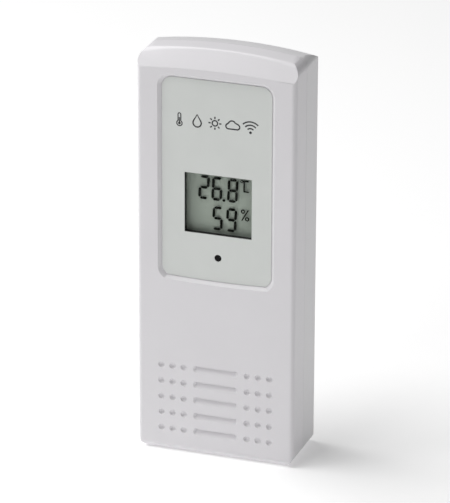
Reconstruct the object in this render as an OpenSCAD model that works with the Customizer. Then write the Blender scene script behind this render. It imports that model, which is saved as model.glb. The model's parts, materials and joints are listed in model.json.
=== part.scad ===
// Wireless temperature and humidity sensor: a slim upright case with a display, two AAA cells,
// a hang hole and a fold-out foot.
// X runs across the case, Z up, and the front faces -Y. The origin is under the middle of the case.
// Depths in this file are counted from the front face towards the back.

/* [Case] */
// Width of the case
body_w = 50.2; // [50:0.1:50.6]
// Height of the case at the middle of its arched top
body_h = 130.8; // [130.6:0.1:131]
// Depth of the case from its front face to its back
body_d = 22; // [22:0.1:22.4]
// Depth at which the front and the rear cover meet
parting_d = 9.8; // [9.7:0.1:9.9]
// Thickness of the side, top and back walls
wall = 1.8; // [1.7:0.1:1.9]
// Thickness of the front wall
front_wall = 2.4; // [2.4:0.05:2.5]
// Radius of the arched top
arch_r = 162; // [155:1:170]
// Radius of the arch along the top of the front face
front_arch_r = 278; // [260:2:300]
// Radius of the two upper corners
top_corner_r = 4; // [3.6:0.1:4.2]
// Radius of the two lower corners
low_corner_r = 3.6; // [3.4:0.1:4]
// Half width of the flat strip that the case stands on
flat_half_w = 8.5; // [8:0.5:9]
// Radius of the bottom edge beside that strip
bottom_r = 300; // [280:10:320]
// Radius that rounds the long front edges
front_edge_r = 1.5; // [1:0.1:1.8]
// Radius that rounds the long back edges
back_edge_r = 2; // [1.5:0.1:2.2]
// Height that the bevel along the top takes off the front face
bevel_drop = 5.9; // [5.8:0.1:6]
// Depth that this bevel reaches back
bevel_d = 3.7; // [3.6:0.1:3.8]
// Depth at which the level top begins to fall towards the back
crest_d = 8.8; // [8.6:0.1:9.2]
// Height that the top falls from there to the back face
back_fall = 3.5; // [3.4:0.1:3.6]

/* [Front panel] */
// Half width of the sunk panel at the front face
panel_half_w = 18.5; // [18:0.1:19]
// Height of the panel's lower edge
panel_low = 56.7; // [55:0.1:58]
// Height of the panel's upper edge
panel_high = 122.7; // [122:0.1:122.8]
// Radius of the panel's corners
panel_corner_r = 4; // [3:0.1:5]
// Depth of the panel's floor, which carries the printed film
panel_d = 1.2; // [1.1:0.05:1.25]
// Thickness of the printed film
film_t = 0.25; // [0.15:0.05:0.3]
// Width of the display window
window_w = 21.3; // [20:0.1:21.5]
// Height of the display window
window_h = 19.1; // [18:0.1:19.2]
// Height of the window's middle above the base
window_z = 82.3; // [82:0.1:82.6]
// Sideways place of the window and of the status light
window_x = 0.45; // [0:0.05:0.6]
// Height of the status light
light_z = 65.4; // [63:0.1:67]
// Radius of the status light's hole
light_r = 1.1; // [0.9:0.1:1.2]

/* [Moulded pattern] */
// Number of rows of dimples and grooves
pattern_rows = 5; // [3:1:5]
// Height of the lowest row
pattern_low = 7.6; // [7:0.1:8]
// Distance from row to row
pattern_pitch = 5.22; // [4.5:0.01:5.4]
// Diameter of a dimple at the face
dimple_w = 2.1; // [1.8:0.1:2.3]
// Depth of a dimple
dimple_d = 0.8; // [0.5:0.1:1]
// Distance from the middle to the first column of dimples
dimple_x = 10.2; // [9.5:0.1:10.5]
// Distance from column to column
dimple_pitch = 3.6; // [3.2:0.1:3.8]
// Length of a groove
groove_w = 14.2; // [12:0.1:14.6]
// Height of a groove at the face
groove_h = 2.3; // [2:0.1:2.4]
// Depth of a groove
groove_d = 1; // [0.6:0.1:1.1]

/* [Back] */
// Half width of the battery door
door_half_w = 14; // [13.8:0.1:14]
// Height of the door's hinge axis
door_hinge_z = 38.75; // [38.7:0.05:38.8]
// Height of the door's upper edge
door_high = 104.2; // [104:0.1:104.2]
// Thickness of the door
door_t = 1.6; // [1.5:0.1:1.7]
// Half width of the fold-out foot
foot_half_w = 13; // [12:0.1:13]
// Height of the folded foot's free edge
foot_high = 31; // [28:0.5:31]
// Height of the foot's hinge axis
foot_hinge_z = 2.3; // [2.3:0.05:2.35]
// Radius of the hang hole's entry
hang_r = 4; // [3.5:0.1:4]
// Height of the hang hole's entry
hang_z = 112; // [111.8:0.1:112.2]
// Half width of the slot above the entry
hang_slot_r = 2.1; // [1.8:0.1:2.3]

/* [Cells] */
// Diameter of an AAA cell
cell_w = 10.5; // [10.5]
// Length of an AAA cell with its nub
cell_l = 44.5; // [44.5]
// Distance from the middle to each cell's axis
cell_x = 5.7; // [5.6:0.05:5.8]

/* [Hidden] */
$fn = 64;
e = 0.1;

// Case
back_y = body_d / 2;
back_in_d = body_d - wall;
arch_cz = body_h - arch_r;
least_corner_r = 1.5;
low_cx = body_w / 2 - low_corner_r;
low_cz = bottom_r - sqrt(pow(bottom_r - low_corner_r, 2) - pow(low_cx - flat_half_w, 2));
front_base_r = 2.6;
back_base_r = 1.2;
back_chamfer = 1;
arch_parts = 8;
arch_end = (body_w / 2 - top_corner_r) * arch_r / (arch_r - top_corner_r);
bevel_tilt = atan(bevel_drop / bevel_d);
bevel_edge_r = 1.6;

// Grooves: radius of their ends, and height of the steep wall
groove_end_r = 0.9;
groove_wall_h = 0.4;

// Lap joint of the two covers, and the groove along their joint
lap_out = 0.9;
lap_gap = 0.1;
lap_l = 1.4;
joint_groove = 0.12;

// Panel and film
panel_slant = 1;
film_gap = 0.15;
film_d = panel_d - film_t;
bow_r = 320;
window_low = window_z - window_h / 2;
window_high = window_z + window_h / 2;
gasket_t = 0.8;

// Display stack: depths of its layers
glass_d = 2.8;
glass_t = 0.55;
ink_t = 0.07;
reflector_t = 0.18;
glass_half_w = 12;
glass_low = window_low - 4.5;
glass_high = window_high + 2.6;
ledge = 2.4;
ink_d = glass_d + glass_t;
rear_glass_d = ink_d + ink_t;
reflector_d = rear_glass_d + glass_t;

// Digits on the display
digit_w = 3.35;
digit_h = 7.6;
stroke = 0.8;
slant = 2.7;
upper_row_z = 82.95;
lower_row_z = 73.5;
upper_row = [[-6.75, [1, 1, 0, 1, 0, 1, 1]], [-2.6, [1, 0, 1, 1, 1, 1, 1]], [2.38, [1, 1, 1, 1, 1, 1, 1]]];
lower_row = [[-2.4, [1, 0, 1, 1, 1, 0, 1]], [2, [1, 1, 1, 1, 1, 0, 1]]];

// Circuit board
board_d = 7.2;
board_t = 1.2;
board_back = board_d + board_t;
board_half_w = 21.4;
board_low = 20;
board_mid = 107.5;
board_high = 121;
board_neck = 13.8;

// Radio board, which stands on a row of pins
radio_d = 10.4;
radio_back = 11.2;
radio_pin_r = 0.32;
radio_pin_z = 108.4;
radio_pins_x = [for (i = [0:3]) -3.8 + 2.54 * i];

// Status light's pipe and the thermistor's bead
pipe_flange_r = 1.6;
bead_d = 12.6;
bead_r = 1.1;

// Battery bay in the rear cover
bay_half_w = 11.8;
bay_wall = 1.4;
bay_floor = [8.6, 9.5];
cell_d = 15;
bay_low = 40.6;
bay_high = 91.6;
plate_t = 0.4;
knob_h = 0.3;
spring_l = bay_high - bay_low - 2 * plate_t - cell_l - knob_h;
shelf_low = bay_high + 1.2;
shelf_high = 103.4;
shelf = [13.5, 14.7];

// Door: its rolled lower edge turns on two stubs
door_gap = 0.2;
door_d = body_d - door_t;
roll_r = 0.95;
roll_d = body_d - roll_r;
stub_r = 0.55;
stub_l = 1.1;
running_gap = 0.06;

// Foot
foot_t = 2;
foot_out = 2.1;
foot_hinge_d = body_d - 0.2 - foot_out;
foot_d = body_d - 0.2 - foot_t;
foot_gap = 0.3;
foot_stub_r = 1.2;
foot_stub_l = 1.5;
foot_corner_r = 3;

// Screws
case_screws_at = [for (x = [-18.5, 18.5], z = [12, 116]) [x, z]];
board_screws_at = [for (x = [-18.6, 18.6], z = [40, 100]) [x, z]];
case_boss_end = 11.8;
case_seat_d = 17;
front_boss_r = 2.8;
rear_boss_r = 3.4;
board_boss_r = 2.1;

// Controls under the door
control_z = 98;
key_x = 7.5;
key_r = 1.6;

// ---- Helpers: everything is placed by X, depth and Z ----

// A front-view drawing given a thickness, from one depth to another
module slab(from_d, to_d) {
    translate([0, to_d - back_y, 0]) rotate([90, 0, 0]) linear_extrude(to_d - from_d) children();
}

// A box between pairs of X, depth and Z
module block(x, d, z) {
    translate([x[0], d[0] - back_y, z[0]]) cube([x[1] - x[0], d[1] - d[0], z[1] - z[0]]);
}

// A round bar that runs front to back
module rod(x, z, d, r) {
    slab(d[0], d[1]) translate([x, z]) circle(r);
}

// A round bar that runs across the case
module axle(d, z, x, r) {
    translate([x[0], d - back_y, z]) rotate([0, 90, 0]) cylinder(r = r, h = x[1] - x[0]);
}

// A round bar that stands upright
module post(x, d, z, r) {
    translate([x, d - back_y, z[0]]) cylinder(r = r, h = z[1] - z[0]);
}

// A rectangle with rounded corners, from its low to its high corner
module soft_rect(low, high, r) {
    translate([low[0] + r, low[1]]) square([high[0] - low[0] - 2 * r, high[1] - low[1]]);
    translate([low[0], low[1] + r]) square([high[0] - low[0], high[1] - low[1] - 2 * r]);
    for (x = [low[0] + r, high[0] - r], y = [low[1] + r, high[1] - r]) translate([x, y]) circle(r);
}

// Wire of radius r swept along points, each ring square to the path
function ring(p, t, r, n) =
    let (side = cross(t, abs(t[2]) > 0.9 ? [1, 0, 0] : [0, 0, 1]), s = side / norm(side), u = cross(t, s))
    [for (i = [0:n - 1]) p + r * cos(360 * i / n) * s + r * sin(360 * i / n) * u];
module wire(path, r, n = 8) {
    last = len(path) - 1;
    tangents = [for (i = [0:last]) path[min(i + 1, last)] - path[max(i - 1, 0)]];
    rings = [for (i = [0:last]) each ring(path[i], tangents[i] / norm(tangents[i]), r, n)];
    walls = [for (i = [0:last - 1], j = [0:n - 1])
        [i * n + j, i * n + (j + 1) % n, (i + 1) * n + (j + 1) % n, (i + 1) * n + j]];
    polyhedron(rings, concat([[for (j = [n - 1:-1:0]) j]], walls, [[for (j = [0:n - 1]) last * n + j]]));
}

// ---- Case ----

// Front view of the case, with every edge moved in by inset
module outline(inset = 0) {
    half_w = body_w / 2 - inset;
    top_r = max(top_corner_r - inset, least_corner_r);
    cx = half_w - top_r;
    cz = arch_cz + sqrt(pow(arch_r - inset - top_r, 2) - cx * cx);
    end_x = cx * (arch_r - inset) / (arch_r - inset - top_r);
    flank = (low_cx - flat_half_w) / (bottom_r - low_cz);
    translate([-half_w, low_cz]) square([2 * half_w, cz - low_cz]);
    polygon(concat(arch_line(arch_r - inset, body_h - inset, end_x),
        [[end_x, body_h / 2], [-end_x, body_h / 2]]));
    translate([-flat_half_w, inset]) square([2 * flat_half_w, body_h / 2]);
    for (s = [-1, 1]) {
        intersection() {
            translate([s * flat_half_w, bottom_r]) circle(bottom_r - inset);
            polygon([[0, body_h / 2], [0, -5], [s * flat_half_w, -5],
                [s * (flat_half_w + flank * (bottom_r + 5)), -5], [s * low_cx, low_cz],
                [s * low_cx, body_h / 2]]);
        }
        translate([s * cx, cz]) circle(top_r);
        translate([s * low_cx, low_cz]) circle(low_corner_r - inset);
    }
}

// Points along an arch of the given radius, at the same X for every arch. The last point on each
// side lies at end_x.
function arch_line(radius, top, end_x) =
    let (xs = concat([-end_x], [for (i = [1 - arch_parts:arch_parts - 1]) arch_end * i / arch_parts], [end_x]))
    [for (x = xs) [x, top - radius + sqrt(radius * radius - x * x)]];

// Space under an arch that leans back by tilt, reaches its full height at the given depth and is
// lowered by drop
module under_arch(depth, tilt, drop = 0, radius = arch_r) {
    k = tan(tilt);
    half_w = body_w / 2 + 2;
    multmatrix([[1, 0, 0, 0], [0, 1, 0, 0], [0, k, 1, -k * (depth - back_y) - drop], [0, 0, 0, 1]])
        slab(-e, body_d + e)
            polygon(concat(arch_line(radius, body_h, half_w),
                [[half_w, -2 * body_h], [-half_w, -2 * body_h]]));
}

// Space under the bevel along the front and under the fall towards the back, both moved in by
// inset. The fall is a parabola, drawn by tangents at these shares of its length.
module under_top(inset = 0) {
    fall_l = body_d - crest_d;
    intersection() {
        under_arch(bevel_d, bevel_tilt, inset / cos(bevel_tilt), front_arch_r);
        intersection_for (t = [0.2, 0.5, 0.85]) {
            tilt = atan(2 * back_fall * t / fall_l);
            under_arch(crest_d + fall_l * t / 2, -tilt, inset / cos(tilt));
        }
    }
}

// Spaces whose faces round the bevel's upper and lower edges
module bevel_edges() {
    upper_turn = bevel_tilt / 2;
    lower_turn = 45 - bevel_tilt / 2;
    intersection() {
        intersection_for (share = [1 / 3, 2 / 3]) {
            tilt = bevel_tilt * share;
            cut = bevel_edge_r * (cos(bevel_tilt * (share - 0.5)) / cos(upper_turn) - 1);
            under_arch(bevel_d, tilt, cut / cos(tilt));
        }
        under_arch(0, 90 - lower_turn, bevel_drop + bevel_edge_r * (1 / cos(lower_turn) - 1) / sin(lower_turn),
            front_arch_r);
    }
}

// Solid outside of the whole case
module case_solid() {
    intersection() {
        slab(0, body_d) outline();
        translate([0, 0, -e]) linear_extrude(body_h + 1) case_plan();
        translate([-body_w / 2 - e, 0, 0]) rotate([90, 0, 90]) linear_extrude(body_w + 2 * e) side_view();
        under_top();
        bevel_edges();
        under_arch(body_d - back_chamfer, -60, 0.85 * back_fall);
    }
}

// The case seen from above
module case_plan() {
    half_w = body_w / 2;
    flat_w = half_w - back_edge_r;
    hull_w = half_w - front_edge_r;
    translate([-half_w, front_edge_r - back_y]) square([body_w, body_d - front_edge_r - back_edge_r]);
    translate([-hull_w, -back_y]) square([2 * hull_w, body_d / 2]);
    translate([-flat_w, 0]) square([2 * flat_w, back_y]);
    for (s = [-1, 1]) {
        translate([s * hull_w, front_edge_r - back_y]) circle(front_edge_r);
        translate([s * flat_w, back_y - back_edge_r]) circle(back_edge_r);
    }
}

// The case seen from its side: rounded along the base
module side_view() {
    translate([-back_y, front_base_r]) square([body_d, body_h]);
    translate([front_base_r - back_y, 0]) square([body_d - front_base_r - back_base_r, body_h]);
    translate([front_base_r - back_y, front_base_r]) circle(front_base_r);
    translate([back_y - back_base_r, back_base_r]) circle(back_base_r);
}

// Hollow inside of the whole case
module case_hollow() {
    intersection() {
        slab(front_wall, back_in_d) outline(wall);
        under_top(wall);
    }
}

// Ring of the lap joint between two insets, from one depth to another
module lap(outer, inner, from_d, to_d) {
    difference() {
        intersection() {
            slab(from_d, to_d) outline(outer);
            under_top(outer);
        }
        intersection() {
            slab(from_d - e, to_d + e) outline(inner);
            under_top(inner);
        }
    }
}

// Front view of the sunk panel, with its edges moved in by inset
module panel_view(inset = 0) {
    intersection() {
        soft_rect([inset - panel_half_w, panel_low + inset], [panel_half_w - inset, panel_high - inset],
            panel_corner_r - inset / 2);
        translate([0, panel_low + inset + bow_r]) circle(bow_r, $fn = 1440);
    }
}

// Front view of the display window, with its edges moved out by margin
module window_view(margin = 0) {
    translate([window_x - window_w / 2 - margin, window_low - margin])
        square([window_w + 2 * margin, window_h + 2 * margin]);
}

// Ball-shaped hollows in columns to both sides
module dimples() {
    r = (pow(dimple_w / 2, 2) + dimple_d * dimple_d) / (2 * dimple_d);
    for (row = [0:pattern_rows - 1], col = [0:2], s = [-1, 1])
        translate([s * (dimple_x + col * dimple_pitch), dimple_d - r - back_y,
            pattern_low + row * pattern_pitch]) sphere(r);
}

// Grooves with a steep upper wall and a floor that slopes out to the face below it
module grooves() {
    w = groove_w / 2;
    for (row = [0:pattern_rows - 1]) {
        low = pattern_low + row * pattern_pitch - groove_h / 2;
        high = low + groove_h;
        hull() {
            slab(-e, 0) soft_rect([-w, low], [w, high], groove_end_r, $fn = 24);
            slab(groove_d - e, groove_d) soft_rect([groove_end_r - w, high - 2 * groove_wall_h],
                [w - groove_end_r, high - groove_wall_h], groove_wall_h / 2, $fn = 12);
        }
    }
}

module front_cover() {
    color("whitesmoke") difference() {
        union() {
            difference() {
                intersection() {
                    case_solid();
                    block([-body_w, body_w], [-e, parting_d], [-e, body_h + e]);
                }
                case_hollow();
            }
            for (p = case_screws_at) rod(p[0], p[1], [front_wall - e, case_boss_end], front_boss_r);
        }
        lap(lap_out, wall + e, parting_d - lap_l - 2 * lap_gap, parting_d + e);
        hull() {
            slab(-0.5, -0.49) panel_view(-0.4);
            slab(panel_d - 0.01, panel_d) panel_view(panel_slant);
        }
        slab(panel_d - e, front_wall + e) window_view(gasket_t);
        rod(window_x, light_z, [0, front_wall + e], light_r);
        dimples();
        grooves();
        for (p = case_screws_at) rod(p[0], p[1], [4, case_boss_end + e], 1);
    }
}

// ---- Rear cover ----

module vents() {
    for (s = [-1, 1], i = [0:4]) {
        x = s * 18.7;
        slab(back_in_d - e, body_d + e) soft_rect([x - 2.5, 20.4 + 3 * i], [x + 2.5, 21.8 + 3 * i], 0.65);
    }
}

module hang_hole() {
    rod(0, hang_z, [back_in_d - e, body_d + e], hang_r);
    rod(0, hang_z + 7, [back_in_d - e, body_d + e], hang_slot_r);
    block([-hang_slot_r, hang_slot_r], [back_in_d - e, body_d + e], [hang_z, hang_z + 7]);
    block([-4.6, 4.6], [17, back_in_d + e], [hang_z - 4.6, hang_z + 9.8]);
}

// Front view of the foot's recess, with its edges moved out by gap
module foot_view(gap = 0) {
    w = foot_half_w + gap;
    r = foot_corner_r + gap;
    translate([-w, -1]) square([2 * w, foot_high + gap - r + 1]);
    translate([r - w, 0]) square([2 * (w - r), foot_high + gap]);
    for (s = [-1, 1]) translate([s * (w - r), foot_high + gap - r]) circle(r);
}

module rear_solids() {
    difference() {
        intersection() {
            case_solid();
            block([-body_w, body_w], [parting_d, body_d + e], [-e, body_h + e]);
        }
        case_hollow();
    }
    lap(lap_out + lap_gap, wall, parting_d - lap_l, parting_d + 1);
    block([-bay_half_w - bay_wall, bay_half_w + bay_wall], [bay_floor[0], back_in_d + e],
        [bay_low - bay_wall, shelf_high + bay_wall]);
    block([-door_half_w - 2, door_half_w + 2], [door_d - 1.8, back_in_d + e],
        [door_hinge_z - 2.35, door_high + 1.8]);
    block([-5.8, 5.8], [15.8, back_in_d + e], [hang_z - 6, hang_z + 11]);
    for (p = case_screws_at) rod(p[0], p[1], [case_boss_end + 0.2, back_in_d + e], rear_boss_r);
    for (p = board_screws_at) rod(p[0], p[1], [board_back, back_in_d + e], board_boss_r);
    intersection() {
        case_solid();
        union() {
            block([-foot_half_w - 1.7, foot_half_w + 1.7], [foot_d - 1.6, back_in_d + e],
                [0, foot_high + 1.8]);
            rod(0, foot_high, [foot_d - 1.6, back_in_d + e], 6.2);
            axle(foot_hinge_d, foot_hinge_z, [-foot_half_w - 3.2, foot_half_w + 3.2], 3.6);
        }
    }
}

module rear_cover() {
    w = door_half_w + door_gap;
    color("gainsboro") difference() {
        rear_solids();
        // Groove along the joint
        slab(parting_d - e, parting_d + joint_groove) difference() {
            translate([-body_w, -body_w]) square([2 * body_w, body_h + 2 * body_w]);
            outline(joint_groove);
        }
        // Battery bay, and the controls' pocket with the space in front of its shelf
        block([-bay_half_w, bay_half_w], [bay_floor[1], body_d], [bay_low, bay_high]);
        block([-bay_half_w, bay_half_w], [shelf[1], body_d], [shelf_low, shelf_high]);
        block([-bay_half_w, bay_half_w], [bay_floor[0] - e, shelf[0]], [shelf_low, shelf_high]);
        block([-bay_half_w, bay_half_w], [18, body_d], [bay_high - e, shelf_low + e]);
        // Opening for the door and its rolled edge
        block([-w, w], [door_d - door_gap, body_d + e], [door_hinge_z, door_high + door_gap]);
        axle(roll_d, door_hinge_z, [-w, w], roll_r + door_gap);
        block([-w, w], [roll_d, body_d + e], [door_hinge_z - roll_r - door_gap, door_hinge_z]);
        axle(roll_d, door_hinge_z, [-w - stub_l, w + stub_l], stub_r + running_gap);
        // Control holes and contact tails
        for (x = [-key_x, key_x]) rod(x, control_z, [shelf[0] - e, shelf[1] + e], key_r + 0.15);
        block([-3.2, 3.2], [shelf[0] - e, shelf[1] + e], [control_z - 0.9, control_z + 0.9]);
        for (x = [-cell_x, cell_x]) block([x - 0.7, x + 0.7], [bay_floor[0] - e, bay_floor[1] + e],
            [bay_high - 2 * plate_t, bay_high + e]);
        // Foot
        slab(foot_d - 0.2, body_d + e) foot_view(foot_gap);
        rod(0, foot_high, [back_in_d, body_d + e], 5);
        axle(foot_hinge_d, foot_hinge_z, [-foot_half_w - foot_gap, foot_half_w + foot_gap], foot_out + 0.2);
        block([-foot_half_w - foot_gap, foot_half_w + foot_gap],
            [foot_hinge_d - foot_out - 0.2, body_d + e], [-1, foot_hinge_z]);
        stub_end = foot_half_w + foot_stub_l + foot_gap;
        axle(foot_hinge_d, foot_hinge_z, [-stub_end, stub_end], foot_stub_r + running_gap);
        // Screw holes
        for (p = case_screws_at) {
            rod(p[0], p[1], [case_boss_end, case_seat_d + e], 1.3);
            rod(p[0], p[1], [case_seat_d, body_d + e], 2.5);
        }
        for (p = board_screws_at) rod(p[0], p[1], [board_back - e, 15], 0.8);
        hang_hole();
        vents();
    }
}

module battery_door() {
    w = door_half_w;
    color("whitesmoke") difference() {
        union() {
            block([-w, w], [door_d, body_d], [door_hinge_z, door_high]);
            axle(roll_d, door_hinge_z, [-w, w], roll_r);
            axle(roll_d, door_hinge_z, [-w - stub_l + 0.1, w + stub_l - 0.1], stub_r);
            // Rib that keeps the cells down
            block([-1, 1], [door_d - 1.2, door_d + e], [50, 82]);
            // Locating rims along the sides
            for (s = [-1, 1]) block([s * 10.9 - 0.5, s * 10.9 + 0.5], [door_d - 1, door_d + e], [94, 102]);
        }
        // Slits that free the snap latch, and its thumb recess
        for (s = [-1, 1])
            block([s * 4.6 - 0.3, s * 4.6 + 0.3], [door_d - e, body_d + e], [door_high - 9, door_high + e]);
        translate([0, 9 + back_y - 0.9, door_high - 4.6]) rotate([0, 90, 0]) cylinder(r = 9, h = 6, center = true);
        // Grip grooves
        for (i = [0:3]) axle(body_d + 0.25, 84 + 2.4 * i, [-6, 6], 0.65);
    }
}

module foot() {
    color("whitesmoke") difference() {
        union() {
            slab(foot_d, foot_d + foot_t) difference() {
                foot_view();
                translate([-body_w, foot_hinge_z - body_h]) square([2 * body_w, body_h]);
            }
            axle(foot_hinge_d, foot_hinge_z, [-foot_half_w, foot_half_w], foot_out);
            axle(foot_hinge_d, foot_hinge_z, [-foot_half_w - foot_stub_l, foot_half_w + foot_stub_l], foot_stub_r);
        }
        // Finger step at the free edge, and two shallow grip grooves
        rod(0, foot_high + 1.5, [foot_d + 1, body_d + e], 4.5);
        for (i = [0:1]) axle(foot_d + foot_t + 0.25, 20 + 2.4 * i, [-7, 7], 0.65);
    }
}

// ---- Front label and display ----

module label_film() {
    color("lightgray") slab(film_d, panel_d) difference() {
        panel_view(panel_slant + film_gap);
        window_view();
        translate([window_x, light_z]) circle(light_r);
    }
}

module display_window() {
    color("lightcyan", 0.4) slab(film_d, panel_d) window_view(-0.05);
}

module window_gasket() {
    color("black") difference() {
        union() {
            slab(panel_d, front_wall + e) window_view(gasket_t - 0.05);
            slab(front_wall + 0.05, glass_d - 0.02) window_view(1.5);
        }
        slab(0, glass_d + e) window_view();
    }
}

// A pane behind the window, from one depth to another
module pane(from_d, to_d, low = glass_low, inset = 0) {
    block([window_x - glass_half_w + inset, window_x + glass_half_w - inset], [from_d, to_d],
        [low + inset, glass_high - inset]);
}

module display_front_glass() {
    color("lightcyan", 0.4) pane(glass_d, ink_d);
}

module display_rear_glass() {
    color("lightcyan", 0.4) pane(rear_glass_d, reflector_d, glass_low + ledge);
}

module display_reflector() {
    color("darkseagreen") pane(reflector_d, reflector_d + reflector_t, glass_low + ledge, 0.4);
}

// Seven strokes: top, upper right, upper left, middle, lower right, lower left, bottom
module digit(on) {
    w = digit_w - stroke;
    h = (digit_h - stroke) / 2;
    places = [[0, 2 * h, 0], [w, h, 90], [0, h, 90], [0, h, 0], [w, 0, 90], [0, 0, 90], [0, 0, 0]];
    translate([stroke / 2, stroke / 2]) for (i = [0:6]) if (on[i]) {
        l = places[i][2] == 0 ? w : h;
        translate([places[i][0], places[i][1]]) rotate(places[i][2]) stroke_view(l);
    }
}

// One stroke of length l with pointed ends
module stroke_view(l) {
    t = stroke / 2;
    g = 0.1;
    polygon([[g, 0], [g + t, t], [l - g - t, t], [l - g, 0], [l - g - t, -t], [g + t, -t]]);
}

module row_of(digits, z) {
    lean = tan(slant);
    for (d = digits) translate([d[0], z]) multmatrix([[1, lean, 0, 0], [0, 1, 0, 0], [0, 0, 1, 0], [0, 0, 0, 1]])
        digit(d[1]);
}

module display_digits() {
    color("black") slab(ink_d, rear_glass_d) {
        row_of(upper_row, upper_row_z);
        row_of(lower_row, lower_row_z);
        translate([1.45, 83.3]) circle(0.45);
        // Degree sign and C
        difference() {
            translate([7.1, 90.1]) circle(0.5);
            translate([7.1, 90.1]) circle(0.22);
        }
        translate([7.6, 86.7]) square([0.45, 3.8]);
        for (z = [86.7, 90.05]) translate([7.6, z]) square([1.75, 0.45]);
        // Percent sign
        for (p = [[7.5, 80.5], [8.85, 78.2]]) translate(p) difference() {
            circle(0.68);
            circle(0.32);
        }
        polygon([[6.95, 77.6], [7.4, 77.6], [9.4, 81.1], [8.95, 81.1]]);
    }
}

module display_holder() {
    color("ivory") difference() {
        block([window_x - glass_half_w - 1.6, window_x + glass_half_w + 1.6], [3, board_d],
            [glass_low - 1.6, glass_high + 1.6]);
        pane(1, reflector_d + reflector_t + 0.05, glass_low - 0.1, 0);
        block([window_x - glass_half_w - 0.1, window_x + glass_half_w + 0.1], [1, reflector_d + 0.25],
            [glass_low - 0.1, glass_high + 0.1]);
        block([window_x - 9.5, window_x + 9.5], [1, board_d + e], [glass_low + 5, glass_high - 3]);
        block([window_x - 11.2, window_x + 11.2], [1, board_d + e], [glass_low + 0.2, glass_low + 2.2]);
        rod(window_x, light_z, [1, board_d + e], pipe_flange_r + 0.2);
    }
}

module contact_strip() {
    color("dimgray") block([window_x - 11, window_x + 11], [ink_d, board_d], [glass_low + 0.3, glass_low + 2.1]);
}

// ---- Circuit board and what is soldered to it ----

module circuit_board() {
    color("darkgreen") slab(board_d, board_back) difference() {
        union() {
            soft_rect([-board_half_w, board_low], [board_half_w, board_mid], 1.5);
            soft_rect([-board_neck, board_low], [board_neck, board_high], 1.5);
        }
        for (p = board_screws_at) translate(p) circle(1);
        for (x = [-cell_x, cell_x]) translate([x, bay_high - plate_t / 2]) circle(0.7);
        for (x = radio_pins_x) translate([x, radio_pin_z]) circle(radio_pin_r + 0.13);
    }
}

// A flat part on the board's back, by its middle, size and height off the board
module back_part(x, z, w, l, h) {
    block([x - w / 2, x + w / 2], [board_back, board_back + h], [z - l / 2, z + l / 2]);
}

// A flat part on the board's front
module front_part(x, z, w, l, h) {
    block([x - w / 2, x + w / 2], [board_d - h, board_d], [z - l / 2, z + l / 2]);
}

module display_chip() {
    r = 7.5;
    color("black") intersection() {
        translate([0, board_d - 1.4 + r - back_y, 54]) sphere(r, $fn = 200);
        rod(0, 54, [board_d - 2, board_d], 5);
    }
}

module clock_crystal() {
    color("silver") {
        post(-12, board_d - 1.2, [50, 56], 1);
        for (x = [-12.5, -11.5]) block([x - 0.15, x + 0.15], [board_d - 0.6, board_d], [47.6, 50]);
    }
}

module resistors() {
    color("dimgray") {
        for (i = [0:3]) front_part(9 + 2.4 * (i % 2), 48 + 3 * floor(i / 2), 0.8, 1.6, 0.5);
        for (i = [0:3]) front_part(-9 + 2.4 * i, 62, 0.8, 1.6, 0.5);
    }
}

module capacitors() {
    color("tan") {
        for (i = [0:2]) front_part(13.5, 47.6 + 3 * i, 1.2, 2, 0.9);
        for (i = [0:1]) front_part(-15, 60 + 3.2 * i, 1.2, 2, 0.9);
    }
}

module status_lamp() {
    color("lightyellow") front_part(window_x, light_z, 1.6, 1.6, 0.9);
}

module light_pipe() {
    color("black") {
        rod(window_x, light_z, [film_d, board_d - 1], light_r - 0.06);
        rod(window_x, light_z, [front_wall + 0.05, front_wall + 0.9], pipe_flange_r);
    }
}

module radio_board() {
    color("navy") block([-9.5, 9.5], [radio_d, radio_back], [107, 120]);
}

module radio_pins() {
    color("gold") for (x = radio_pins_x) rod(x, radio_pin_z, [board_back - 0.9, radio_d], radio_pin_r);
}

module radio_chip() {
    color("black") block([-3, 1.5], [radio_back, radio_back + 0.9], [112, 116.5]);
}

module radio_crystal() {
    color("silver") slab(radio_back, radio_back + 1.6) soft_rect([3.5, 111.5], [8, 116.5], 1);
}

module antenna() {
    turns = 6;
    steps = 12;
    path = [for (i = [0:turns * steps]) let (a = 360 * i / steps)
        [-6.6 + 1.3 * cos(a), 13 - back_y + 1.3 * sin(a), 109 + 9.6 * i / (turns * steps)]];
    color("peru") wire(path, 0.25);
}

module humidity_sensor() {
    color("royalblue") slab(12, 13) soft_rect([13.2, 23], [20.2, 33], 0.6);
}

module humidity_leads() {
    color("silver") for (x = [15.4, 18]) rod(x, 24, [board_back, 12], 0.25);
}

module thermistor() {
    color("saddlebrown") translate([-17, bead_d - back_y, 27]) sphere(bead_r);
}

module thermistor_leads() {
    color("silver") for (x = [-17.5, -16.5]) rod(x, 27, [board_back, bead_d - bead_r], 0.2);
}

// ---- Controls ----

module channel_switch() {
    color("silver") difference() {
        back_part(0, control_z, 8.6, 4, 3.8);
        block([-3.15, 3.15], [10.4, 13], [control_z - 0.85, control_z + 0.85]);
    }
}

module channel_knob() {
    color("white") {
        block([-1, 1], [10.6, 15], [control_z - 0.7, control_z + 0.7]);
        slab(14.9, 16.2) soft_rect([-1.3, control_z - 1.3], [1.3, control_z + 1.3], 0.3);
    }
}

module key_switch(x) {
    color("black") difference() {
        back_part(x, control_z, 6, 6, 3.5);
        rod(x, control_z, [10.8, 13], 1.05);
    }
}

module key_cap(x) {
    color("gray") {
        rod(x, control_z, [11.4, 12.7], 0.95);
        rod(x, control_z, [12.6, 13.3], 2.4);
        rod(x, control_z, [12.6, 15.8], key_r);
    }
}

module reset_switch() key_switch(-key_x);
module reset_button() key_cap(-key_x);
module unit_switch() key_switch(key_x);
module unit_button() key_cap(key_x);

// ---- Cells and contacts ----

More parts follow.
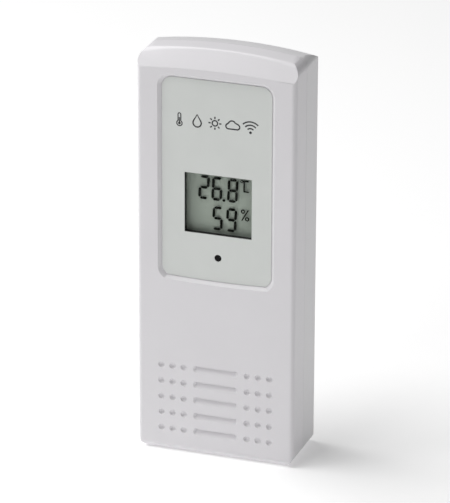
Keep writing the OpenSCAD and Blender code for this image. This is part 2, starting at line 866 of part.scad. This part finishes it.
// An upright AAA cell with its nub at the top
module cell() {
    nub_h = 0.9;
    r = cell_w / 2;
    body_l = cell_l - nub_h;
    rotate_extrude() {
        difference() {
            square([r, body_l]);
            translate([r - 0.4, body_l - 0.4]) square(1);
            translate([r - 0.3, -1]) square([1, 1.5]);
        }
        translate([0, body_l - e]) square([1.8, nub_h + e]);
    }
}

module battery_left() {
    color("darkslategray") translate([-cell_x, cell_d - back_y, bay_low + plate_t + spring_l]) cell();
}

module battery_right() {
    color("darkslategray") translate([cell_x, cell_d - back_y, bay_high - plate_t - spring_l])
        mirror([0, 0, 1]) cell();
}

// Conical spring, wide at the foot, that stands h high
module spring(h) {
    r = 0.35;
    turns = 4;
    steps = 16;
    path = [for (i = [0:turns * steps]) let (k = i / (turns * steps))
        [(3.8 - 1.7 * k) * cos(360 * i / steps), (3.8 - 1.7 * k) * sin(360 * i / steps), r + (h - 2 * r) * k]];
    wire(path, r);
}

module spring_left() {
    color("silver") translate([-cell_x, cell_d - back_y, bay_low + plate_t]) spring(spring_l);
}

module spring_right() {
    color("silver") translate([cell_x, cell_d - back_y, bay_high - plate_t]) mirror([0, 0, 1]) spring(spring_l);
}

// A plate across one cell, between two heights
module contact_plate(x, z) {
    block([x - 4.6, x + 4.6], [10.2, 19.8], z);
}

module bridge_contact() {
    z = [bay_low, bay_low + plate_t];
    color("silver") {
        contact_plate(-cell_x, z);
        contact_plate(cell_x, z);
        block([-cell_x, cell_x], [12, 18], z);
        post(cell_x, cell_d, [z[0], z[1] + knob_h], 1.5);
    }
}

// Upper contact with a tail through the bay's floor into the board
module tailed_contact(x) {
    z = [bay_high - plate_t, bay_high];
    contact_plate(x, z);
    block([x - 0.4, x + 0.4], [board_d, 10.3], z);
}

module positive_contact() {
    color("silver") {
        tailed_contact(-cell_x);
        post(-cell_x, cell_d, [bay_high - plate_t - knob_h, bay_high], 1.5);
    }
}

module negative_contact() {
    color("silver") tailed_contact(cell_x);
}

// ---- Screws ----

// A pan-head screw driven in from the back, by the depths of its seat and its tip
module screw(x, z, seat, tip, head_r, head_h, shank_r) {
    s = seat < tip ? -1 : 1;
    difference() {
        union() {
            rod(x, z, [min(seat, tip), max(seat, tip)], shank_r);
            rod(x, z, [min(seat, seat + s * head_h), max(seat, seat + s * head_h)], head_r);
        }
        slot = [seat + s * 0.7, seat + s * (head_h + e)];
        for (a = [0, 90]) slab(min(slot), max(slot))
            translate([x, z]) rotate(a) square([head_r * 1.3, 0.5], center = true);
    }
}

module case_screws() {
    color("dimgray") for (p = case_screws_at) screw(p[0], p[1], case_seat_d, 5, 2.2, 1.7, 1.1);
}

module board_screws() {
    color("dimgray") for (p = board_screws_at) screw(p[0], p[1], board_d, 14, 1.7, 1.3, 0.88);
}

front_cover();
rear_cover();
battery_door();
foot();
label_film();
display_window();
window_gasket();
display_holder();
display_front_glass();
display_digits();
display_rear_glass();
display_reflector();
contact_strip();
circuit_board();
display_chip();
clock_crystal();
resistors();
capacitors();
status_lamp();
light_pipe();
radio_board();
radio_pins();
radio_chip();
radio_crystal();
antenna();
humidity_sensor();
humidity_leads();
thermistor();
thermistor_leads();
channel_switch();
channel_knob();
reset_switch();
reset_button();
unit_switch();
unit_button();
battery_left();
battery_right();
bridge_contact();
positive_contact();
negative_contact();
spring_left();
spring_right();
case_screws();
board_screws();
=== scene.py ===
"""A wireless temperature and humidity sensor: a slim white case with a display behind a sunk
printed panel, two AAA cells behind a door, a hang hole and a fold-out foot.
Everything is in metres. X runs across the case, Z up, and the front faces -Y."""
import json
import math

import bmesh
import bpy
import numpy as np
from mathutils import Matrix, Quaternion, Vector

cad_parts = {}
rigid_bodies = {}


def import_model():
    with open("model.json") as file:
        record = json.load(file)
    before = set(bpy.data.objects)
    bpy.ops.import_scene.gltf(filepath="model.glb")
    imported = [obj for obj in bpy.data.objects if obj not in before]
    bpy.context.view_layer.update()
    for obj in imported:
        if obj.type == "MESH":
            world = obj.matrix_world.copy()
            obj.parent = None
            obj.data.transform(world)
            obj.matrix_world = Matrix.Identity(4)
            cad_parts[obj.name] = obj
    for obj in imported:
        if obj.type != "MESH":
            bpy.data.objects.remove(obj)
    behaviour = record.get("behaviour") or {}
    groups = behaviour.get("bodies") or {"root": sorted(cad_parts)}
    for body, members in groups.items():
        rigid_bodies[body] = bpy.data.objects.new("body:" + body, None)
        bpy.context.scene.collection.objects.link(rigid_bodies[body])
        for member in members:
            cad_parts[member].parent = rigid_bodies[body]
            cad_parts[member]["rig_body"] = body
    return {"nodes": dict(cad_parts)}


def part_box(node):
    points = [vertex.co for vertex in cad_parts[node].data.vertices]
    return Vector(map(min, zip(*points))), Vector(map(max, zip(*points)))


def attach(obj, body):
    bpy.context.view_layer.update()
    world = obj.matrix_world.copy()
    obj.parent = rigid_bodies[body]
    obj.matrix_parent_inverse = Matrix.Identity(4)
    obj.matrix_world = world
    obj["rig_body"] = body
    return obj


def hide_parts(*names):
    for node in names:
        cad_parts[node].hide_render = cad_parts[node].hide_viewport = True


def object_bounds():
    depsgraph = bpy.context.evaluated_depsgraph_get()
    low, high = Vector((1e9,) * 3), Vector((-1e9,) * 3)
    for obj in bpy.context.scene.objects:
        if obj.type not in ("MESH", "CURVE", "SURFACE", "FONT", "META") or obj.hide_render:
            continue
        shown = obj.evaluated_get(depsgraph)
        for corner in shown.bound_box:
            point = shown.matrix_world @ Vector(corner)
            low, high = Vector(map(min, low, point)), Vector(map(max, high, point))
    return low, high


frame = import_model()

cad_low, cad_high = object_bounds()
scene = bpy.context.scene
MM = 0.001


# ---- Camera ----
# A long lens, a little above the case and to its right. Its place and its aim are counted from
# the floor under the middle of the case.
middle = (cad_low + cad_high) / 2
stand = Vector((middle.x, middle.y, cad_low.z))
eye = stand + Vector((363.9, -1039.4, 503.1)) * MM
aim = stand + Vector((-1.17, 1.0, 63.27)) * MM
eye_roll = Quaternion(aim - eye, math.radians(-0.181))
lens_data = bpy.data.cameras.new("studio_camera")
lens_data.lens = 279.85
lens_data.sensor_width = 36
lens_data.clip_start = 0.1
studio_camera = bpy.data.objects.new("studio_camera", lens_data)
scene.collection.objects.link(studio_camera)
studio_camera.location = eye
studio_camera.rotation_mode = "QUATERNION"
studio_camera.rotation_quaternion = eye_roll @ (aim - eye).to_track_quat("-Z", "Y")
scene.camera = studio_camera


# ---- Front cover ----
# The front half of the case, injection moulded in white ABS: a sunk panel for the printed film,
# a sloping top, and a pattern of dimples and grooves. Its tool was spark-eroded, so the skin is
# finely grained and satin.


class Shade:
    """A value in a material: one output socket. Arithmetic on it adds Math nodes."""

    def __init__(self, socket):
        self.socket = socket

    def node(self, kind, settings, sockets, out=0):
        """Adds a node of that type to the same material: its settings first, then the values or
        links of its sockets. Gives back one of its outputs."""
        made = self.socket.id_data.nodes.new("ShaderNode" + kind)
        for name, setting in settings.items():
            setattr(made, name, setting)
        for name, value in sockets.items():
            if isinstance(value, Shade):
                made.id_data.links.new(value.socket, made.inputs[name])
            else:
                made.inputs[name].default_value = value
        return Shade(made.outputs[out])

    def maths(self, operation, *values):
        """A Math node's result, of the given values or of this value alone."""
        return self.node("Math", {"operation": operation}, dict(enumerate(values or (self,))))

    def __add__(self, other):
        return self.maths("ADD", self, other)

    def __radd__(self, other):
        return self.maths("ADD", other, self)

    def __sub__(self, other):
        return self.maths("SUBTRACT", self, other)

    def __rsub__(self, other):
        return self.maths("SUBTRACT", other, self)

    def __mul__(self, other):
        return self.maths("MULTIPLY", self, other)

    def __rmul__(self, other):
        return self.maths("MULTIPLY", other, self)

    def __gt__(self, other):
        return self.maths("GREATER_THAN", self, other)

    def __lt__(self, other):
        return self.maths("LESS_THAN", self, other)

    def soft(self, low, high):
        """0 below low, 1 above high, and an even rise between."""
        return self.node("MapRange", {}, {"Value": self, "From Min": low, "From Max": high})

    def noise(self, size, detail=2.0, roughness=0.5):
        """Cloudy noise from 0 to 1 over a place, with lumps of that size in metres."""
        return self.node("TexNoise", {}, {"Vector": self, "Scale": 1 / size, "Detail": detail,
                                          "Roughness": roughness})

    def axis(self, name):
        """X, Y or Z of a place."""
        return self.node("SeparateXYZ", {}, {0: self}, out=name)

    def mix(self, low, high):
        """The colour low where this value is 0, and the colour high where it is 1."""
        return self.node("Mix", {"data_type": "RGBA"}, {0: self, 6: low, 7: high}, out=2)

    def bump(self, height_scale, strength=1.0):
        """A normal that follows this value as a height in metres."""
        return self.node("Bump", {}, {"Height": self, "Distance": height_scale,
                                      "Strength": strength})


def screen(red, green, blue):
    """A colour on a 0 to 255 screen scale, as linear red, green, blue and alpha."""
    parts = np.array([red, green, blue]) / 255
    linear = np.where(parts > 0.04045, ((parts + 0.055) / 1.055) ** 2.4, parts / 12.92)
    return (*linear.tolist(), 1.0)


def darker(colour, share):
    """The colour with its light cut to that share."""
    return (*(share * c for c in colour[:3]), 1.0)


def new_finish(name):
    """A new material, and the object's own coordinates in it to work from."""
    material = bpy.data.materials.new(name)
    material.use_nodes = True
    material.node_tree.nodes.new("ShaderNodeTexCoord").name = "place"
    return material, Shade(material.node_tree.nodes["place"].outputs["Object"])


def set_finish(material, sockets):
    """Sets the sockets of the material's main shader, by value or link."""
    shader = material.node_tree.nodes["Principled BSDF"]
    for name, value in sockets.items():
        if isinstance(value, Shade):
            material.node_tree.links.new(value.socket, shader.inputs[name])
        else:
            shader.inputs[name].default_value = value
    return material


def grained_plastic(name, colour, grain=0.28 * MM, depth=0.012 * MM, satin=0.36):
    """Moulded plastic: an even colour with faint cloudy flow, and a fine eroded grain whose
    hollows are a little duller than its peaks."""
    material, place = new_finish(name)
    flow = place.noise(14 * MM, 3)
    skin = place.noise(grain, 3, 0.6)
    shade = flow * 0.6 + skin * 0.4
    return set_finish(material, {
        "Base Color": shade.soft(0.3, 0.7).mix(darker(colour, 0.965), colour),
        "Roughness": satin + 0.16 * (skin - 0.5) + 0.08 * (flow - 0.5),
        "Normal": skin.bump(depth),
        "IOR": 1.5,
    })


def finished(node, material, rounding=0.0, segments=2, shrink=0.0, edge_angle=28):
    """The part that a CAD node stands for, as it leaves its tool: a copy of the node's mesh with
    its doubles merged, its flat faces made whole and its curves smooth. Edges sharper than
    edge_angle degrees are rounded, or stay crisp where rounding is 0. shrink draws the part in on
    every side. It rides on the node's body and takes the node's place."""
    source = frame["nodes"][node]
    bm = bmesh.new()
    bm.from_mesh(source.data)
    bmesh.ops.remove_doubles(bm, verts=bm.verts, dist=2e-6)
    bmesh.ops.dissolve_limit(bm, angle_limit=math.radians(0.2), verts=bm.verts, edges=bm.edges)
    mesh = bpy.data.meshes.new(node + "-finished")
    bm.to_mesh(mesh)
    bm.free()
    if "custom_normal" in mesh.attributes:
        mesh.attributes.remove(mesh.attributes["custom_normal"])
    if shrink:
        low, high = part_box(node)
        centre = np.array((low + high) / 2)
        size = np.array(high - low)
        points = np.zeros(len(mesh.vertices) * 3)
        mesh.vertices.foreach_get("co", points)
        points = centre + (points.reshape(-1, 3) - centre) * (1 - 2 * shrink / size)
        mesh.vertices.foreach_set("co", points.ravel())
    mesh.materials.clear()
    mesh.materials.append(material)
    mesh.polygons.foreach_set("material_index", np.zeros(len(mesh.polygons), int))
    mesh.shade_smooth()
    piece = bpy.data.objects.new(node + "-finished", mesh)
    scene.collection.objects.link(piece)
    if rounding:
        bevel = piece.modifiers.new("rounded_edges", "BEVEL")
        bevel.width = rounding
        bevel.segments = segments
        bevel.limit_method = "ANGLE"
        bevel.angle_limit = math.radians(edge_angle)
        bevel.use_clamp_overlap = False
        bevel.harden_normals = True
    else:
        mesh.set_sharp_from_angle(angle=math.radians(edge_angle))
        even = piece.modifiers.new("flat_faces_first", "WEIGHTED_NORMAL")
        even.keep_sharp = True
        even.weight = 100
    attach(piece, source["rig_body"])
    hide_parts(node)


case_white = grained_plastic("case_white_plastic", screen(233, 231, 234))
finished("front_cover", case_white)


# ---- Rear cover ----
# The rear half of the case, moulded in the same white ABS, with the battery bay, the hang hole,
# the vents and the wells of the case screws. It is held to the front cover by four screws.
back_white = grained_plastic("case_back_plastic", screen(232, 231, 233))
finished("rear_cover", back_white)


# ---- Printed film ----
# A polyester film, reverse-printed in pale grey with a clear patch over the display, cut to the
# sunk panel and stuck to its floor. Its face has a very fine satin coat.
def printed_film(name, colour):
    """Satin film: printed colour with a faint unevenness of the ink, and a fine smooth coat."""
    material, place = new_finish(name)
    ink = place.noise(9 * MM, 2)
    coat = place.noise(0.16 * MM, 2)
    return set_finish(material, {
        "Base Color": ink.soft(0.3, 0.7).mix(darker(colour, 0.975), colour),
        "Roughness": 0.42 + 0.12 * (coat - 0.5),
        "Normal": coat.bump(0.003 * MM),
        "IOR": 1.5,
    })


film_grey = printed_film("film_print", screen(222, 225, 222))
finished("label_film", film_grey, rounding=0.05 * MM)


# ---- Printed marks ----
# A row of plain pictograms, screen-printed in dark ink across the top of the film: thermometer,
# drop, sun, cloud and radio waves.
def closed_grid(name, rings, material):
    """A closed skin over rings of points (rings x points x 3): each ring is joined to the next,
    and the first and last are capped."""
    count, around, _ = rings.shape
    ring, point = np.meshgrid(np.arange(count - 1), np.arange(around), indexing="ij")
    following = (point + 1) % around
    quads = np.stack([ring * around + point, ring * around + following,
                      (ring + 1) * around + following, (ring + 1) * around + point], -1)
    caps = [list(range(around))[::-1], list(range((count - 1) * around, count * around))]
    mesh = bpy.data.meshes.new(name)
    mesh.from_pydata(rings.reshape(-1, 3).tolist(), [], quads.reshape(-1, 4).tolist() + caps)
    mesh.materials.append(material)
    bm = bmesh.new()
    bm.from_mesh(mesh)
    bmesh.ops.remove_doubles(bm, verts=bm.verts, dist=1e-7)
    bmesh.ops.recalc_face_normals(bm, faces=bm.faces)
    bm.to_mesh(mesh)
    bm.free()
    return mesh


def ink_line(path, width, front, thick, loop):
    """Rings of a flat printed stroke along a path of X and Z points: at each point the stroke
    runs half its width to either side, square to the path, and from front to front + thick."""
    if loop:
        path = np.vstack([path, path[:1]])
        ahead = np.vstack([path[1:], path[1:2]])
        behind = np.vstack([path[-2:-1], path[:-1]])
    else:
        ahead = np.vstack([path[1:], path[-1:]])
        behind = np.vstack([path[:1], path[:-1]])
    along = ahead - behind
    along = along / np.linalg.norm(along, axis=1, keepdims=True)
    side = np.stack([-along[:, 1], along[:, 0]], 1) * width / 2
    left, right = path + side, path - side
    low = np.full(len(path), front)
    high = low + thick
    corners = [(left, low), (right, low), (right, high), (left, high)]
    return np.stack([np.stack([edge[:, 0], y, edge[:, 1]], 1) for edge, y in corners], 1)


def arc(centre, radius, start, stop, count=24):
    """Points on an arc, with angles in degrees from the X axis."""
    angle = np.radians(np.linspace(start, stop, count))
    return np.array(centre) + radius * np.stack([np.cos(angle), np.sin(angle)], 1)


def ink_dot(centre, radius, front, thick, count=32):
    """Rings of a flat printed dot."""
    edge = arc(centre, radius, 0, 360 * (count - 1) / count, count)
    return np.stack([np.insert(edge, 1, y, axis=1) for y in (front, front + thick)])


film_low, film_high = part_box("label_film")
ink_front = film_low.y - 0.02 * MM
ink_thick = 0.04 * MM
stroke_w = 0.42 * MM
dot_r = 0.42 * MM
mark_z = film_high.z - 13.1 * MM
mark_pitch = 5.6 * MM
row_x = -0.6 * MM


# Each drawing below is a list of strokes (path, width, closed or not) and dots (centre, radius)
def thermometer(x):
    """A bulb with a tall round-topped stem over it, and the filled column inside."""
    bulb = (x, mark_z - 1.25 * MM)
    top = (x, mark_z + 1.5 * MM)
    stem = np.vstack([arc(bulb, 0.85 * MM, 120, 420, 24), arc(top, 0.44 * MM, 0, 180, 12)])
    column = np.array([[x, mark_z - 1.2 * MM], [x, mark_z + 0.6 * MM]])
    return [(stem, stroke_w * 0.8, True), (column, stroke_w * 0.8, False), (bulb, dot_r)]


def drop(x):
    """A round drop drawn out to a point at its top."""
    round_part = arc((x, mark_z - 0.55 * MM), 1.3 * MM, 148, 392, 28)
    return [(np.vstack([round_part, [[x, mark_z + 2.05 * MM]]]), stroke_w, True)]


def sun(x):
    """A ring with eight short rays."""
    ring = (arc((x, mark_z), 0.85 * MM, 0, 345, 24), stroke_w, True)
    rays = [np.vstack([arc((x, mark_z), r * MM, a, a, 1) for r in (1.35, 2.05)])
            for a in range(0, 360, 45)]
    return [ring] + [(ray, stroke_w, False) for ray in rays]


def cloud(x):
    """Three round puffs on a flat base."""
    base = mark_z - 1.2 * MM
    outline = np.vstack([
        arc((x - 1.35 * MM, base + 0.8 * MM), 0.8 * MM, 270, 120, 14),
        arc((x - 0.2 * MM, base + 1.45 * MM), 1.15 * MM, 160, 30, 16),
        arc((x + 1.35 * MM, base + 0.85 * MM), 0.85 * MM, 75, -90, 14),
    ])
    return [(outline, stroke_w, True)]


def waves(x):
    """A dot with three arcs spreading up from it."""
    foot = (x, mark_z - 1.6 * MM)
    arcs = [(arc(foot, r * MM, 45, 135, 18), stroke_w, False) for r in (1.3, 2.35, 3.4)]
    return arcs + [(foot, dot_r)]


def dark_ink(name, colour):
    """Screen-printed ink: nearly black, a little thinner in places, with a dull face."""
    material, place = new_finish(name)
    cover = place.noise(0.35 * MM, 2)
    return set_finish(material, {
        "Base Color": cover.soft(0.3, 0.75).mix(colour, darker(colour, 1.6)),
        "Roughness": 0.45 + 0.2 * cover,
        "IOR": 1.45,
    })


print_ink = dark_ink("film_ink", screen(46, 46, 48))
for place, drawing in enumerate((thermometer, drop, sun, cloud, waves)):
    bm = bmesh.new()
    for shape in drawing(row_x + (place - 2) * mark_pitch):
        if len(shape) == 3:
            path, width, loop = shape
            rings = ink_line(path, width, ink_front, ink_thick, loop)
        else:
            centre, radius = shape
            rings = ink_dot(centre, radius, ink_front, ink_thick)
        bm.from_mesh(closed_grid("stroke", rings, print_ink))
    mark_mesh = bpy.data.meshes.new("printed_" + drawing.__name__)
    bm.to_mesh(mark_mesh)
    bm.free()
    mark_mesh.materials.append(print_ink)
    mark = bpy.data.objects.new(mark_mesh.name, mark_mesh)
    scene.collection.objects.link(mark)
    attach(mark, "case")


# ---- Display window and its frame ----
# The clear patch of the panel, and the black rubber frame behind it that seals the display
# glass to the front cover and keeps stray light off it. The frame's black is also painted shade:
# its inner walls, seen through the patch at the left and the bottom, stand for the window's
# shadowed walls.
def clear_face(node, material):
    """The front face of a clear flat part, which is all that shows of it: one rectangle, a hair
    inside the part. Takes the part's place."""
    low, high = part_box(node)
    gap = Vector((1, 1, 1)) * 0.01 * MM
    low, high = low + gap, high - gap
    corners = [(low.x, low.y, low.z), (high.x, low.y, low.z),
               (high.x, low.y, high.z), (low.x, low.y, high.z)]
    mesh = bpy.data.meshes.new(node + "-face")
    mesh.from_pydata(corners, [], [(0, 1, 2, 3)])
    mesh.materials.append(material)
    piece = bpy.data.objects.new(node + "-face", mesh)
    scene.collection.objects.link(piece)
    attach(piece, "case")
    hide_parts(node)


def clear_sheet(name, tint, cover, gloss):
    """A clear sheet: mostly see-through, with a polished face and a few soft streaks in it."""
    material, place = new_finish(name)
    streak = place.noise(5 * MM, 2)
    return set_finish(material, {
        "Base Color": tint,
        "Roughness": gloss + 0.04 * streak,
        "Alpha": cover,
        "IOR": 1.5,
    })


clear_face("display_window", clear_sheet("clear_patch", screen(60, 64, 60), 0.03, 0.12))
# Black rubber, its colour partly painted shade for the window's shadowed walls.
frame_rubber_painted_shade = grained_plastic("frame_rubber_painted_shade", screen(24, 24, 25), 0.2 * MM, 0.008 * MM, 0.7)
finished("window_gasket", frame_rubber_painted_shade, rounding=0.05 * MM)


# ---- Display ----
# A reflective liquid-crystal display: two panes of glass, the switched-on strokes between them,
# and a grey-green reflector stuck to the rear pane.
pane_finish = clear_sheet("display_pane", screen(40, 46, 40), 0.02, 0.06)
for pane in ("display_front_glass", "display_rear_glass"):
    clear_face(pane, pane_finish)


def reflector(name, colour):
    """Brushed reflector foil: grey-green, with a fine grain along the display."""
    material, place = new_finish(name)
    stretched = place.node("Mapping", {}, {"Vector": place, "Scale": (1.0, 1.0, 7.0)})
    grain = stretched.noise(0.35 * MM, 2)
    wide = place.noise(12 * MM, 1)
    return set_finish(material, {
        "Base Color": (grain * 0.5 + wide * 0.5).soft(0.3, 0.7).mix(darker(colour, 0.95), colour),
        "Roughness": 0.55 + 0.1 * grain,
        "IOR": 1.4,
    })


finished("display_reflector", reflector("reflector_foil", screen(178, 189, 177)))
display_stroke = set_finish(dark_ink("display_stroke", screen(14, 17, 13)), {"IOR": 1.1})
finished("display_digits", display_stroke, shrink=0.004 * MM)


# ---- Holder, contact strip and status light ----
# The white frame clipped behind the display, the striped rubber strip that joins the display to
# the board, and the smoked pipe that brings the status light to the front.
natural = grained_plastic("holder_plastic", screen(226, 224, 214), 0.4 * MM, 0.01 * MM, 0.45)
finished("display_holder", natural, rounding=0.2 * MM)


def striped_rubber(name, pitch):
    """Layers of conducting and plain rubber, one stripe of each per pitch along X."""
    material, place = new_finish(name)
    wave = (place.axis("X") * (2 * math.pi / pitch)).maths("SINE")
    return set_finish(material, {
        "Base Color": wave.soft(-0.1, 0.1).mix(screen(30, 30, 32), screen(176, 172, 160)),
        "Roughness": 0.6 + 0.1 * place.noise(0.3 * MM),
    })


finished("contact_strip", striped_rubber("strip_layers", 0.4 * MM))
smoked = grained_plastic("smoked_plastic", screen(16, 16, 17), 0.5 * MM, 0.002 * MM, 0.45)
set_finish(smoked, {"IOR": 1.2})
finished("light_pipe", smoked, rounding=0.12 * MM, segments=3)
lamp = grained_plastic("lamp_resin", screen(236, 224, 150), 0.3 * MM, 0.004 * MM, 0.35)
finished("status_lamp", lamp, rounding=0.1 * MM)


# ---- Circuit board ----
# Glass-epoxy laminate under green solder mask, with copper tracks that show through the mask.
def board_mask(name, mask, track):
    """Solder mask: tracks run in a stepped pattern under it, in millimetres, and stand a little
    proud."""
    material, place = new_finish(name)
    flat = place.node("Mapping", {}, {"Vector": place, "Rotation": (math.pi / 2, 0, 0)})
    line = flat.node("TexBrick", {"offset": 0.37, "squash": 1.0}, {
        "Vector": flat, "Color1": (0, 0, 0, 1), "Color2": (0, 0, 0, 1), "Mortar": (1, 1, 1, 1),
        "Scale": 1 / MM, "Mortar Size": 0.14, "Brick Width": 6.4, "Row Height": 1.9})
    cloudy = place.noise(6 * MM)
    return set_finish(material, {
        "Base Color": line.soft(0.2, 0.8).mix(cloudy.mix(darker(mask, 0.9), mask), track),
        "Roughness": 0.28 + 0.12 * cloudy,
        "Normal": line.bump(0.03 * MM),
        "IOR": 1.5,
    })


finished("circuit_board", board_mask("solder_mask", screen(24, 92, 52), screen(58, 128, 78)),
         rounding=0.08 * MM)
finished("radio_board", board_mask("radio_mask", screen(28, 54, 118), screen(60, 92, 158)),
         rounding=0.08 * MM)


# ---- Parts soldered to the board ----
# A resin drop over the display chip, the clock crystal's can, chip resistors and capacitors,
# the radio chip and its crystal.
resin = grained_plastic("resin_drop", screen(20, 20, 21), 0.9 * MM, 0.02 * MM, 0.35)
finished("display_chip", resin)


def metal(name, colour, dull, scratch=(1.0, 1.0, 1.0), lump=0.5 * MM):
    """Plated or drawn metal: colour with a slight tarnish, and fine drawing lines stretched
    along the axes where scratch is small."""
    material, place = new_finish(name)
    drawn = place.node("Mapping", {}, {"Vector": place, "Scale": scratch})
    lines = drawn.noise(lump, 4, 0.6)
    tarnish = place.noise(4 * MM, 2)
    return set_finish(material, {
        "Base Color": tarnish.soft(0.35, 0.75).mix(colour, darker(colour, 0.82)),
        "Metallic": 1.0,
        "Roughness": dull + 0.18 * (lines - 0.5) + 0.1 * (tarnish - 0.5),
        "Normal": lines.bump(0.004 * MM),
    })


tin = metal("tinned_can", screen(206, 206, 204), 0.3, (3.0, 3.0, 0.4))
finished("clock_crystal", tin, rounding=0.12 * MM)
finished("radio_crystal", tin, rounding=0.15 * MM)
chip_body = grained_plastic("chip_body", screen(34, 34, 36), 0.12 * MM, 0.006 * MM, 0.6)
finished("resistors", chip_body, rounding=0.06 * MM)
finished("radio_chip", chip_body, rounding=0.06 * MM)
ceramic = grained_plastic("chip_ceramic", screen(178, 144, 104), 0.2 * MM, 0.006 * MM, 0.5)
finished("capacitors", ceramic, rounding=0.08 * MM)
finished("radio_pins", metal("gilt_pins", screen(226, 186, 96), 0.25), rounding=0.04 * MM)
finished("antenna", metal("enamelled_copper", screen(196, 112, 66), 0.3), edge_angle=50)


# ---- Sensors ----
# The humidity sensor's blue plastic body and the thermistor's resin bead stand off the board on
# tinned leads, in the air behind the vents.
sensor_blue = grained_plastic("sensor_plastic", screen(52, 108, 188), 0.3 * MM, 0.008 * MM, 0.45)
finished("humidity_sensor", sensor_blue, rounding=0.15 * MM)
bead = grained_plastic("bead_resin", screen(96, 58, 36), 0.6 * MM, 0.01 * MM, 0.3)
finished("thermistor", bead)
leads = metal("tinned_lead", screen(200, 200, 198), 0.32, (3.0, 0.4, 3.0))
finished("humidity_leads", leads)
finished("thermistor_leads", leads)


# ---- Controls ----
# The channel slide switch and two push switches on the board, with the white knob and the grey
# rubber keys that reach through the bay's shelf.
steel_can = metal("switch_can", screen(190, 192, 194), 0.34, (0.5, 3.0, 3.0))
finished("channel_switch", steel_can, rounding=0.1 * MM)
knob = grained_plastic("knob_plastic", screen(236, 236, 234), 0.3 * MM, 0.006 * MM, 0.4)
finished("channel_knob", knob, rounding=0.15 * MM)
key_rubber = grained_plastic("key_rubber", screen(120, 122, 126), 0.25 * MM, 0.01 * MM, 0.65)
for switch, cap in (("reset_switch", "reset_button"), ("unit_switch", "unit_button")):
    finished(switch, chip_body, rounding=0.12 * MM)
    finished(cap, key_rubber, rounding=0.25 * MM, segments=3)


# ---- Cells ----
# Two AAA cells, one each way up. A printed sleeve is shrunk over the steel can, and rolls over
# the can's edges; the bare nub and base are nickel-plated.
def cell_sleeve(name, nub_up, node):
    """Sleeve printed in two bands, with bare metal inside the rolled rims at both ends."""
    material, place = new_finish(name)
    low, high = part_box(node)
    middle_x = (low.x + high.x) / 2
    middle_y = (low.y + high.y) / 2
    nub_z = high.z if nub_up else low.z
    across = place.axis("X") - middle_x
    through = place.axis("Y") - middle_y
    reach = (across * across + through * through).maths("SQRT")
    from_nub = (place.axis("Z") - nub_z).maths("ABSOLUTE")
    bare_r = 3.9 * MM
    band_l = 12 * MM
    wrap = reach > bare_r
    band = from_nub < band_l
    print_colour = band.mix(screen(44, 46, 52), screen(196, 150, 66))
    wear = place.noise(1.2 * MM, 3)
    return set_finish(material, {
        "Base Color": wrap.mix(screen(198, 198, 196), print_colour),
        "Metallic": 1 - wrap * 0.6,
        "Roughness": 0.26 + 0.14 * wear,
        "Coat Weight": wrap * 0.5,
    })


for cell, nub_up in (("battery_left", True), ("battery_right", False)):
    sleeve = cell_sleeve("sleeve_of_" + cell, nub_up, cell)
    finished(cell, sleeve, rounding=0.25 * MM, segments=3)


# ---- Cell contacts and springs ----
# Nickel-plated strip, stamped and pushed into the bay, with conical springs at the cells' flat
# ends.
nickel = metal("nickel_strip", screen(204, 202, 196), 0.28, (0.5, 3.0, 3.0))
for contact in ("bridge_contact", "positive_contact", "negative_contact"):
    finished(contact, nickel, rounding=0.06 * MM)
spring_wire = metal("spring_wire", screen(196, 196, 194), 0.25)
for spring in ("spring_left", "spring_right"):
    finished(spring, spring_wire, edge_angle=60)


# ---- Battery door ----
# A thin moulded lid that snaps shut at its top and turns on two stubs at its foot.
finished("battery_door", back_white, rounding=0.2 * MM)


# ---- Foot ----
# The fold-out foot, moulded in the same plastic, which lies flush in the back's recess.
finished("foot", back_white, rounding=0.25 * MM, segments=3)


# ---- Screws ----
# Cross-head screws in zinc-plated steel: four that hold the covers together and four that hold
# the board.
zinc = metal("zinc_plate", screen(176, 178, 182), 0.32)
finished("case_screws", zinc, rounding=0.12 * MM)
finished("board_screws", zinc, rounding=0.1 * MM)


# ---- Floor and lights ----
# A plain pale floor in a bright, even studio, with a large soft light above and to the left, and
# a small one in front.
def floor_plane(half, material):
    """A flat square under the case, half a side to every edge from its middle."""
    corners = [(-half, -half, 0), (half, -half, 0), (half, half, 0), (-half, half, 0)]
    mesh = bpy.data.meshes.new("studio_floor")
    mesh.from_pydata(corners, [], [(0, 1, 2, 3)])
    mesh.materials.append(material)
    plane = bpy.data.objects.new("studio_floor", mesh)
    scene.collection.objects.link(plane)
    return plane


floor_paint, floor_place = new_finish("floor_paint")
set_finish(floor_paint, {
    "Base Color": floor_place.noise(0.4, 1).mix(screen(252, 252, 252), screen(254, 254, 254)),
    "Roughness": 0.9,
    "Specular IOR Level": 0.1,
    "Emission Color": (1.0, 1.0, 1.0, 1.0),
    "Emission Strength": 0.25,
})
floor_plane(6.0, floor_paint)

scene.world = bpy.data.worlds.new("studio_air")
scene.world.use_nodes = True
air = scene.world.node_tree.nodes["Background"]
air.inputs["Color"].default_value = (1.0, 1.0, 1.0, 1.0)
air.inputs["Strength"].default_value = 0.17


def softbox(name, toward, distance, size, power):
    """A square soft light, a distance off the case's middle in one direction and facing it."""
    data = bpy.data.lights.new(name, "AREA")
    data.size = size
    data.energy = power
    box = bpy.data.objects.new(name, data)
    scene.collection.objects.link(box)
    box.location = middle + Vector(toward).normalized() * distance
    box.rotation_mode = "QUATERNION"
    box.rotation_quaternion = Vector(toward).to_track_quat("Z", "Y")


softbox("key_light", (-0.5, -0.1, 0.86), 1.1, 0.9, 11.2)
softbox("front_light", (-0.31, -0.71, 0.63), 1.1, 0.3, 0.9)
scene.view_settings.view_transform = "Standard"
